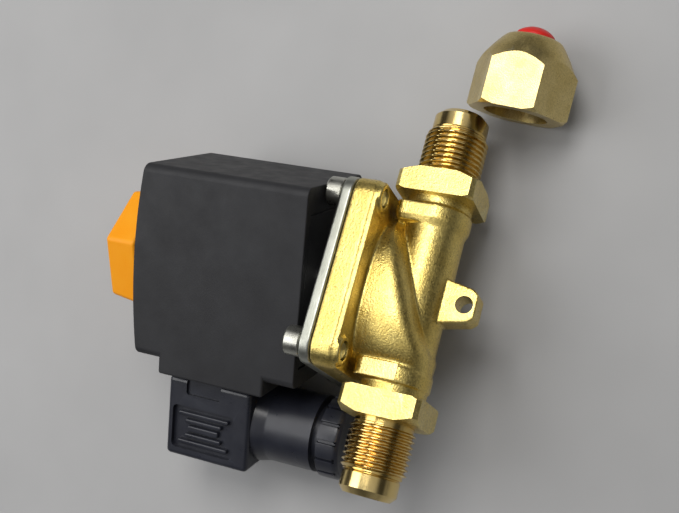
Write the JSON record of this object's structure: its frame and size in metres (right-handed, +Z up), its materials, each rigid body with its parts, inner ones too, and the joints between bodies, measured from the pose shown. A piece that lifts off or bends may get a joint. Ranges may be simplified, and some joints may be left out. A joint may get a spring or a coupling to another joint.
{
  "type": "solenoid valve",
  "caption": "Servo-operated refrigerant solenoid valve with brass body, flare ports, swivelling coil, plug connector with cable gland, coil cap and a loose capped flare nut.",
  "frame": {"origin": "centre of the whole object's footprint, on the surface it lies on", "axes": "+Z up from the bench, +Y along the coil axis towards the coil cap, +X along the pipe run towards the loose flare nut; the pipe itself dips 14.17 degrees towards +X"},
  "size_m": [0.1482, 0.1277, 0.0566],
  "materials": {
    "forged_brass": "shot-blasted forging with machined ports",
    "turned_brass": "turned",
    "plated_steel": "satin plated",
    "screw_steel": "satin",
    "stainless_steel": "smooth",
    "zinc_plated_yoke": "zinc plated",
    "copper": "enamelled wire",
    "tinned_brass": "tinned",
    "coil_moulding": "fine matt moulding",
    "plug_moulding": "satin moulding",
    "bobbin_nylon": "matt",
    "black_rubber": "matt",
    "valve_seal": "matt",
    "cap_orange": "satin",
    "dust_plug_red": "satin"
  },
  "bodies": {
    "valve": {"valve_body": "forged_brass", "cover_plate": "plated_steel", "cover_screw_1": "screw_steel", "cover_screw_2": "screw_steel", "cover_screw_3": "screw_steel", "cover_screw_4": "screw_steel", "diaphragm": "black_rubber", "diaphragm_spring": "stainless_steel", "armature_tube": "stainless_steel", "armature_spring": "stainless_steel", "fixed_core": "stainless_steel", "shading_ring": "copper", "tube_seal": "black_rubber"},
    "armature": {"armature": "stainless_steel", "pilot_seal": "valve_seal"},
    "diaphragm_insert": {"diaphragm_insert": "turned_brass"},
    "coil": {"coil_housing": "coil_moulding", "coil_base": "coil_moulding", "yoke_frame": "zinc_plated_yoke", "bobbin": "bobbin_nylon", "winding": "copper", "line_blade": "tinned_brass", "neutral_blade": "tinned_brass", "earth_blade": "tinned_brass"},
    "cap_ring": {"cap_seal": "black_rubber"},
    "cap": {"coil_cap": "cap_orange"},
    "connector": {"connector_housing": "plug_moulding", "connector_gasket": "black_rubber", "terminal_block": "plug_moulding", "connector_screw": "screw_steel", "gland_grommet": "black_rubber"},
    "gland_ring": {"gland_washer": "tinned_brass"},
    "gland_nut": {"gland_nut": "plug_moulding"},
    "flare_nut": {"flare_nut": "forged_brass"},
    "dust_plug": {"dust_plug": "dust_plug_red"}
  },
  "joints": [
    {"name": "armature_lift", "type": "slide", "parent": "valve", "child": "armature", "axis": [0, 1, 0], "range_m": [0, 0.0025], "stiffness_N_per_m": 400, "springref_m": -0.006, "deforming": ["armature_spring"]},
    {"name": "insert_lift", "type": "slide", "parent": "valve", "child": "diaphragm_insert", "axis": [0, 1, 0], "range_m": [0, 0.002], "stiffness_N_per_m": 600, "springref_m": -0.003, "deforming": ["diaphragm", "diaphragm_spring"]},
    {"name": "coil_swivel", "type": "hinge", "parent": "valve", "child": "coil", "pos_m": [-0.01164, -0.03184, 0.0283], "axis": [0, 1, 0], "continuous": true},
    {"name": "cap_rise", "type": "slide", "parent": "valve", "child": "cap_ring", "axis": [0, 1, 0], "range_m": [0, 0.00375]},
    {"name": "cap_turn", "type": "hinge", "parent": "cap_ring", "child": "cap", "pos_m": [-0.01164, -0.03184, 0.0283], "axis": [0, 1, 0], "range_deg": [0, 1080]},
    {"name": "connector_pull", "type": "slide", "parent": "coil", "child": "connector", "axis": [-0.9693, 0, -0.2458], "range_m": [0, 0.014]},
    {"name": "gland_advance", "type": "slide", "parent": "connector", "child": "gland_ring", "axis": [0, -1, 0], "range_m": [0, 0.003]},
    {"name": "gland_turn", "type": "hinge", "parent": "gland_ring", "child": "gland_nut", "pos_m": [-0.05826, -0.01184, 0.01648], "axis": [0, -1, 0], "range_deg": [0, 720]},
    {"name": "nut_slide", "type": "slide", "parent": "valve", "child": "flare_nut", "axis": [0.9969, -0.0785, 0], "range_m": [0, 0.03]},
    {"name": "plug_pull", "type": "slide", "parent": "flare_nut", "child": "dust_plug", "axis": [0.9969, -0.0785, 0], "range_m": [0, 0.012]}
  ],
  "couplings": [
    {"joint": "insert_lift", "follows": "armature_lift", "ratio": 0.8},
    {"joint": "cap_turn", "follows": "cap_rise", "rad_per_m": 5026.5},
    {"joint": "gland_turn", "follows": "gland_advance", "rad_per_m": 4188.8}
  ]
}
